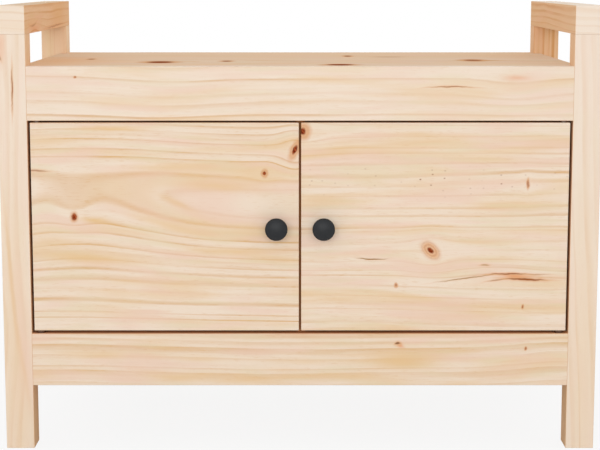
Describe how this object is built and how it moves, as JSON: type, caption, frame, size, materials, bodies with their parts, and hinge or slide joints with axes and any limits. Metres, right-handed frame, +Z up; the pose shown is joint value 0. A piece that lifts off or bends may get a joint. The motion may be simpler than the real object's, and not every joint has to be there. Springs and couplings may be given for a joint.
{
  "type": "hall bench",
  "caption": "Pine hall bench with open arm frames, a flat boarded seat and a cupboard with hinged doors, round knobs and shelves below it.",
  "frame": {"origin": "on the floor, under the middle of the overall box with the knobs included", "axes": "+X to the right as seen from the front, +Y from the front to the back, +Z up"},
  "size_m": [0.8, 0.424, 0.6],
  "materials": {
    "pine": "sanded solid pine, clear matt finish",
    "plywood": "thin pine plywood, sanded",
    "beech": "fluted beech dowel rod, raw",
    "black_knob": "satin black",
    "zinc_steel": "bright zinc plating",
    "brown_nylon": "moulded nylon",
    "ferrite": "ground ceramic magnet"
  },
  "bodies": {
    "frame": {"front_left_leg": "pine", "front_right_leg": "pine", "back_left_leg": "pine", "back_right_leg": "pine", "left_arm_rail": "pine", "right_arm_rail": "pine", "front_apron": "pine", "back_apron": "pine", "front_bottom_rail": "pine", "back_bottom_rail": "pine", "left_side_panel": "pine", "right_side_panel": "pine", "seat_front_board": "pine", "seat_back_board": "pine", "front_seat_cleat": "pine", "back_seat_cleat": "pine", "front_floor_cleat": "pine", "back_floor_cleat": "pine", "cabinet_floor": "pine", "centre_partition": "pine", "left_shelf": "pine", "right_shelf": "pine", "back_panel": "plywood", "arm_dowels": "beech", "rail_dowels": "beech", "side_panel_dowels": "beech", "cam_locks": "zinc_steel", "cam_bolts": "zinc_steel", "cleat_screws": "zinc_steel", "seat_screws": "zinc_steel", "floor_screws": "zinc_steel", "partition_screws": "zinc_steel", "catch_screws": "zinc_steel", "left_pivot_bushes": "brown_nylon", "left_shelf_pegs": "brown_nylon", "left_catch_case": "brown_nylon", "left_catch_magnet": "ferrite", "right_pivot_bushes": "brown_nylon", "right_shelf_pegs": "brown_nylon", "right_catch_case": "brown_nylon", "right_catch_magnet": "ferrite"},
    "left_leaf": {"left_door": "pine", "left_knob": "black_knob", "left_knob_screw": "zinc_steel", "left_pivot_pins": "zinc_steel", "left_strike_plate": "zinc_steel", "left_strike_screws": "zinc_steel"},
    "right_leaf": {"right_door": "pine", "right_knob": "black_knob", "right_knob_screw": "zinc_steel", "right_pivot_pins": "zinc_steel", "right_strike_plate": "zinc_steel", "right_strike_screws": "zinc_steel"}
  },
  "joints": [
    {"name": "left_door_hinge", "type": "hinge", "parent": "frame", "child": "left_leaf", "pos_m": [-0.3505, -0.1805, 0.3048], "axis": [0, 0, -1], "range_deg": [0, 110]},
    {"name": "right_door_hinge", "type": "hinge", "parent": "frame", "child": "right_leaf", "pos_m": [0.3505, -0.1805, 0.3048], "axis": [0, 0, 1], "range_deg": [0, 110]}
  ]
}
